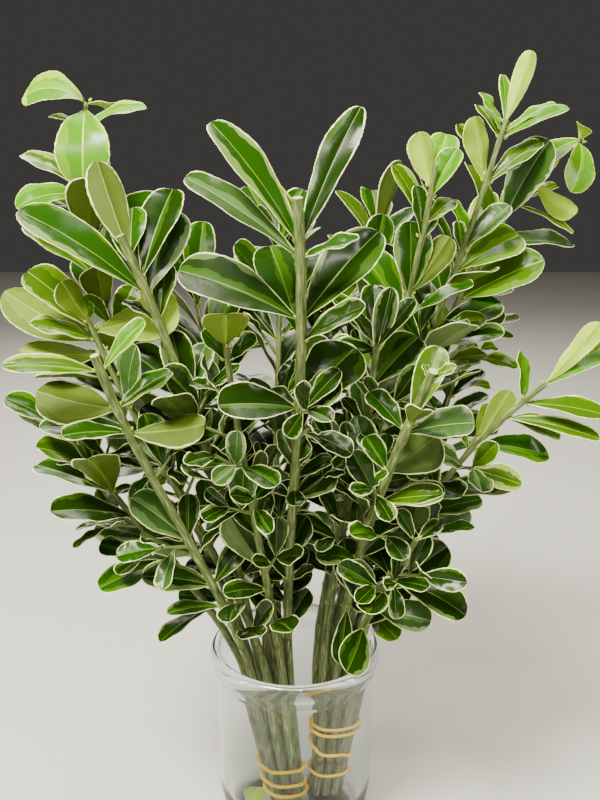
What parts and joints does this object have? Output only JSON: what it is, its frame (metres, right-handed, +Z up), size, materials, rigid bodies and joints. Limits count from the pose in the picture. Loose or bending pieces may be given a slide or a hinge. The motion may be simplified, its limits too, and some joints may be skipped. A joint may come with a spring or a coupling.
{
  "type": "cut branches of variegated euonymus in a glass jar",
  "caption": "Two wired bunches of leafy variegated euonymus branches standing in a short clear glass jar with a thick rolled rim.",
  "frame": {"origin": "middle of the jar's flat underside", "axes": "+Z up, from the jar's underside to the branches' tips; -Y is the front, towards which the nearest branches lean; +X is the right seen from the front"},
  "size_m": [0.3204, 0.242, 0.4459],
  "materials": {
    "glass": "clear, smooth",
    "green_bark": "smooth grey-green bark",
    "leaves": "glossy dark green leaves with thin cream margins",
    "yellow_wire": "plastic-coated wire",
    "young_leaf": "bright yellow-green leaf"
  },
  "bodies": {
    "root": {"jar": "glass", "stem_front_centre": "green_bark", "stem_left_front": "green_bark", "stem_left_upper": "green_bark", "stem_left_inner": "green_bark", "stem_left_crest": "green_bark", "stem_left_far": "green_bark", "stem_left_low": "green_bark", "stem_back_left": "green_bark", "stem_back_centre": "green_bark", "stem_back_inner": "green_bark", "stem_right_inner": "green_bark", "stem_right_front": "green_bark", "stem_right_low": "green_bark", "stem_right_arching": "green_bark", "stem_right_crest": "green_bark", "stem_right_far": "green_bark", "stem_right_upper": "green_bark", "stem_right_side": "green_bark", "stem_back_low": "green_bark", "stem_back_right": "green_bark", "foliage_front_centre": "leaves", "foliage_left_front": "leaves", "foliage_left_upper": "leaves", "foliage_left_inner": "leaves", "foliage_left_crest": "leaves", "foliage_left_far": "leaves", "foliage_left_low": "leaves", "foliage_back_left": "leaves", "foliage_back_centre": "leaves", "foliage_back_inner": "leaves", "foliage_right_inner": "leaves", "foliage_right_front": "leaves", "foliage_right_low": "leaves", "foliage_right_arching": "leaves", "foliage_right_crest": "leaves", "foliage_right_far": "leaves", "foliage_right_upper": "leaves", "foliage_right_side": "leaves", "foliage_back_low": "leaves", "foliage_back_right": "leaves", "tie_left": "yellow_wire", "tie_right": "yellow_wire", "fallen_leaf": "young_leaf"}
  },
  "joints": []
}
